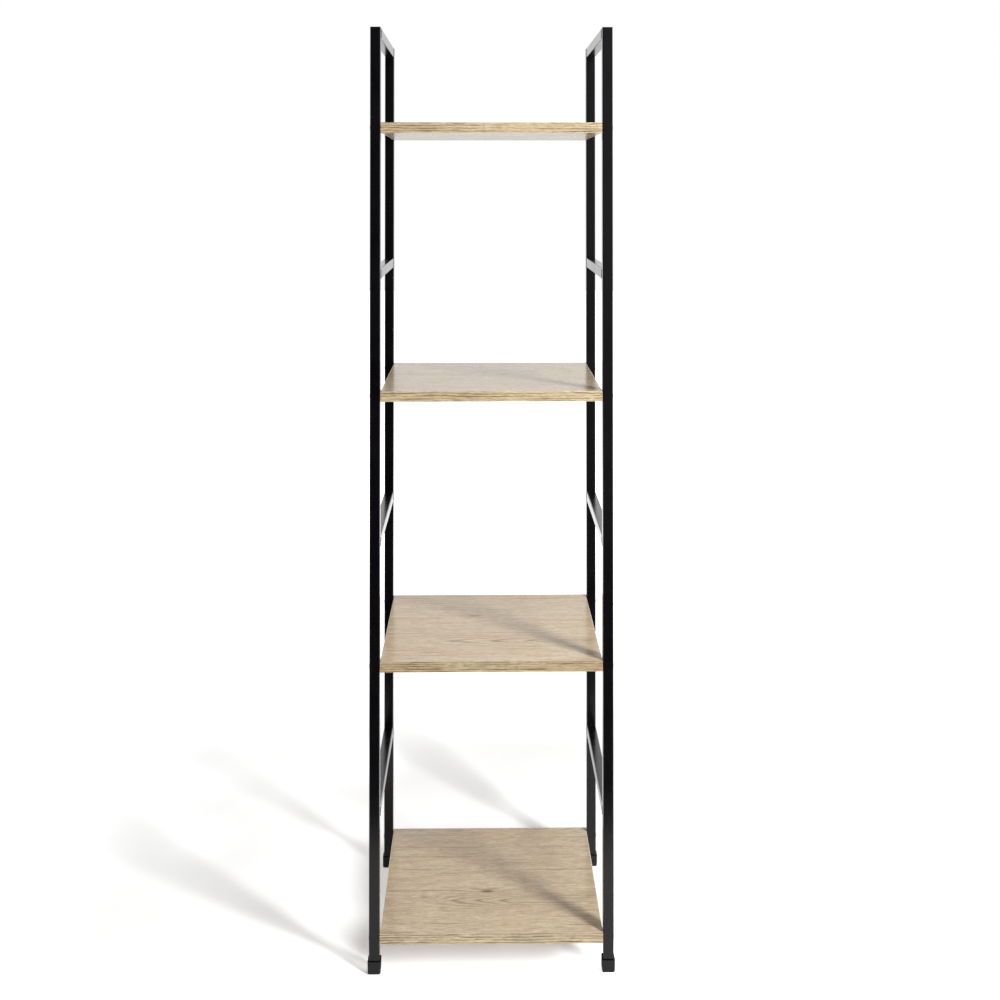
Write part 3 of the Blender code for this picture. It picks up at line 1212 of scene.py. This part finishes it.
def model_screw():
    low, high = screw_box("bottom", "right", "front")
    length = high.x - low.x - HEAD_HEIGHT
    screw = model_head_and_shank(length)
    slot = RECESS_SLOT / 2
    cut_out(screw, add_recess_bar(RECESS_HALF, slot), add_recess_bar(slot, RECESS_HALF))
    settle_normals(screw, SCREW_SMOOTH_BELOW)
    thread = add_thread(length)
    bpy.ops.object.shade_smooth_by_angle(angle=SMOOTH_BELOW)
    join_pieces([screw, thread])
    paint(screw, SCREW_STEEL)
    screw.name = "screw_pattern"
    return screw


screw = model_screw()
print("the screw has", faces_of(screw), "faces")

# %% Drive the sixteen screws
for board in SHELF_NAMES:
    for side, sign in SIDES.items():
        for row in ROWS:
            node = f"{board}_shelf_{side}_{row}_screw"
            low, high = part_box(node)
            head = high.x if sign > 0 else low.x
            middle = (low + high) / 2
            seat = Vector((head - sign * HEAD_HEIGHT, middle.y, middle.z))
            turn = 0.0 if sign > 0 else math.pi
            hand_over(copy_piece(screw, node + "_turned", seat, turn), node)
bpy.data.objects.remove(screw, do_unlink=True)
print("sixteen screws are in")

# %% [markdown]
# ## The floor
#
# The unit stands on a white studio floor that was exposed so brightly that only the shadows of the
# posts draw on it. It is a stage and not part of the object. For the camera it is lifted to white:
# wholly far away and behind the lamp, and near the unit with rings and soft pools of painted light,
# which pale the shadows where they pile up. The diffuse light that it throws back stays that of a
# plain pale floor. Glossy pieces mirror a bright floor behind the unit, and in front of the white
# paper a dark one, a little paler at the right.

# %% Lay the floor
FLOOR_SIDE = 24.0
WHITE = (1.0, 1.0, 1.0, 1.0)
FLOOR_COLOUR = (0.88, 0.88, 0.88, 1.0)
FLOOR_DARK = (0.03, 0.03, 0.03, 1.0)
FLOOR_DIM = (0.44, 0.44, 0.44, 1.0)
KEY_PLACE = Vector((1.10, -1.20, 1.35))
LEAN = Vector((0.45, -0.49, 0.75)).normalized()
# Where the floor grows wholly white, in metres: away from the lamp, to the front, past the lamp
FAR_FROM_KEY = (1.85, 3.65)
FAR_IN_FRONT = (-0.7, -1.4)
PAST_THE_KEY = (1.0, 1.5)
# The front end of the white paper, and where the mirrored floor is paler: aside and in front
PAPER_END = (-0.63, -0.47)
DIM_ASIDE = (-0.1, 0.3)
DIM_IN_FRONT = (-1.5, -2.8)
# The bright mirrored floor behind the unit: where it begins, and how it fades far away
REAR_START = (0.0, 0.4)
REAR_FADE = (1.5, 5.0, 1.0, 0.4)
# Painted light that grows with the distance from the unit and pales the shadows: from, to, from
# nothing, up to this strength
PAINTED_LIGHT_RINGS = ((0.60, 0.90, 0.0, 0.32), (0.90, 2.00, 0.0, 0.11))
# Soft pools of painted light over the densest shadows: place along X and Y, reach, strength
PAINTED_LIGHT_POOLS = (
    (-0.20, 0.20, 0.22, 0.40), (-0.178, -0.136, 0.016, 0.46), (-0.194, -0.124, 0.016, 0.31),
    (-0.211, -0.110, 0.018, 0.33), (-0.230, -0.095, 0.020, 0.32), (-0.250, -0.078, 0.024, 0.24),
    (-0.276, -0.057, 0.030, 0.12), (0.16, -0.12, 0.05, 1.03), (-0.38, 0.42, 0.13, 0.27),
    (-0.08, 0.00, 0.13, 0.23), (0.04, 0.30, 0.05, 0.21), (-0.30, -0.04, 0.06, 0.13),
    (-0.50, -0.18, 0.13, 0.09), (-0.50, 0.24, 0.08, 0.16), (0.22, 0.42, 0.13, 0.17),
    (-0.26, 0.54, 0.08, 0.47), (-0.50, 0.48, 0.08, 0.11), (-0.26, 0.24, 0.05, 0.16),
    (-0.20, 0.00, 0.05, 0.23), (0.04, -0.06, 0.05, 0.16), (0.04, 0.36, 0.05, 0.12),
    (-0.45, 0.58, 0.10, 0.04), (-0.52, 0.34, 0.09, 0.04), (-0.27, 0.33, 0.05, 0.09),
    (0.42, 0.49, 0.12, 0.05), (-0.22, 0.10, 0.08, 0.06), (-0.62, -0.28, 0.22, 0.06),
)


def camera_lift(place, front):
    # How much white is added for the camera: even white far away, and painted light in rings and
    # pools that pales the shadows near the unit
    from_key = vectors("DISTANCE", place, (KEY_PLACE.x, KEY_PLACE.y, 0.0))
    key_way = KEY_PLACE.xy.normalized()
    to_key = vectors("DOT_PRODUCT", place, (key_way.x, key_way.y, 0.0))
    lift = ranged(from_key, *FAR_FROM_KEY)
    lift = maths("MAXIMUM", lift, ranged(front, *FAR_IN_FRONT))
    lift = maths("MAXIMUM", lift, ranged(to_key, *PAST_THE_KEY))
    from_unit = vectors("LENGTH", place)
    for ring in PAINTED_LIGHT_RINGS:
        lift = maths("ADD", lift, ranged(from_unit, *ring))
    for x, y, reach, strength in PAINTED_LIGHT_POOLS:
        share = maths("DIVIDE", vectors("DISTANCE", place, (x, y, 0.0)), reach)
        lift = fused(bell(share), strength, lift)
    return lift


def mirrored_colour(side, front, glossy):
    off_paper = maths("SUBTRACT", 1.0, ranged(front, *PAPER_END))
    dim = product(ranged(side, *DIM_ASIDE), ranged(front, *DIM_IN_FRONT))
    dark = blended(dim, FLOOR_DARK, FLOOR_DIM)
    return blended(product(glossy, off_paper), FLOOR_COLOUR, dark)


def floor_material():
    material, shader, place = start_material("white_studio_floor")
    tree = material.node_tree
    tree.nodes.remove(shader)
    place = place["Object"]
    side, front = split(place)[:2]
    paths = add_node(tree, "LightPath")
    glossy = paths["Is Glossy Ray"]
    colour = mirrored_colour(side, front, glossy)
    matt = wired("BsdfDiffuse", {"Color": colour})[0]
    # The camera sees a floor that leans towards the lamp, with the lift of white and painted light
    # added
    lean = add_node(tree, "CombineXYZ", dict(enumerate(LEAN)))[0]
    seen = wired("BsdfDiffuse", {"Color": WHITE, "Normal": lean})[0]
    glow = wired("Emission", {"Color": WHITE, "Strength": camera_lift(place, front)})[0]
    lifted = wired("AddShader", {0: seen, 1: glow})[0]
    rear = product(ranged(front, *REAR_START), ranged(front, *REAR_FADE))
    bright = maths("MAXIMUM", paths["Is Camera Ray"], product(glossy, rear))
    surface = mixed(bright, matt, lifted)
    tree.links.new(surface, tree.nodes["Material Output"].inputs["Surface"])
    return material


deselect_all()
bpy.ops.mesh.primitive_plane_add(size=FLOOR_SIDE, location=ORIGIN)
floor = bpy.context.object
floor.name = "studio_floor"
paint(floor, floor_material())
print("the floor is", FLOOR_SIDE, "m wide")

# %% [markdown]
# ## The light
#
# The streaks on the floor spread away from a point at the front right, about a metre from the unit,
# and only the upright posts cast them. That is what a narrow, upright soft box does, because it is
# narrow across a post and tall across a rail; an oval one leaves the ends of the streaks soft. No
# piece mirrors it, because its glare would burn out the boards. The room adds an even, dimmer
# light. Glossy black steel mirrors the white surroundings at the sides and behind, the dark end of
# the room behind the photographer, and a dim screen at the photographer's right.

# %% Hang the soft box and light the room
KEY_WIDTH = 0.36
KEY_HEIGHT = 2.3
KEY_POWER = 50.0
ROOM_LIGHT = 0.38
# The mirrored room, by the direction of the ray: from, to, strength there
DARK_END = (-0.35, 0.25, 0.02, 1.0)
SCREEN_ASIDE = (-0.04, 0.08)
SCREEN_ABOVE = (-0.45, -0.12, 0.0, 0.36)


def hang_soft_box():
    deselect_all()
    bpy.ops.object.light_add(type="AREA", location=KEY_PLACE)
    key = bpy.context.object
    key.name = "upright_soft_box"
    adjust(key.data, {"shape": "ELLIPSE", "size": KEY_WIDTH, "size_y": KEY_HEIGHT,
                      "energy": KEY_POWER})
    level_aim = Vector((0.0, 0.0, KEY_PLACE.z))
    key.rotation_euler = (level_aim - KEY_PLACE).to_track_quat("-Z", "Y").to_euler()
    key.visible_camera = False
    key.visible_glossy = False
    return key


def light_room():
    world = bpy.data.worlds.new("white_room")
    bpy.context.scene.world = world
    world.use_nodes = True
    tree = world.node_tree
    tree.nodes.clear()
    paths = add_node(tree, "LightPath")
    aside, behind, above = split(add_node(tree, "TexCoord")["Generated"])
    room = ranged(behind, *DARK_END, interpolation_type="SMOOTHSTEP")
    screen = product(ranged(aside, *SCREEN_ASIDE), ranged(above, *SCREEN_ABOVE))
    mirrored = maths("MAXIMUM", room, screen)
    ambient, glossy, white = [
        add_node(tree, "Background", {"Color": WHITE, "Strength": strength})[0]
        for strength in (ROOM_LIGHT, mirrored, 1.0)
    ]
    dim = mixed(paths["Is Glossy Ray"], ambient, glossy)
    output = tree.nodes.new("ShaderNodeOutputWorld")
    wire_inputs(output, {"Surface": mixed(paths["Is Camera Ray"], dim, white)})


key = hang_soft_box()
light_room()
bpy.context.scene.view_settings.view_transform = "Standard"
print("the soft box gives", key.data.energy, "W, the room", ROOM_LIGHT)
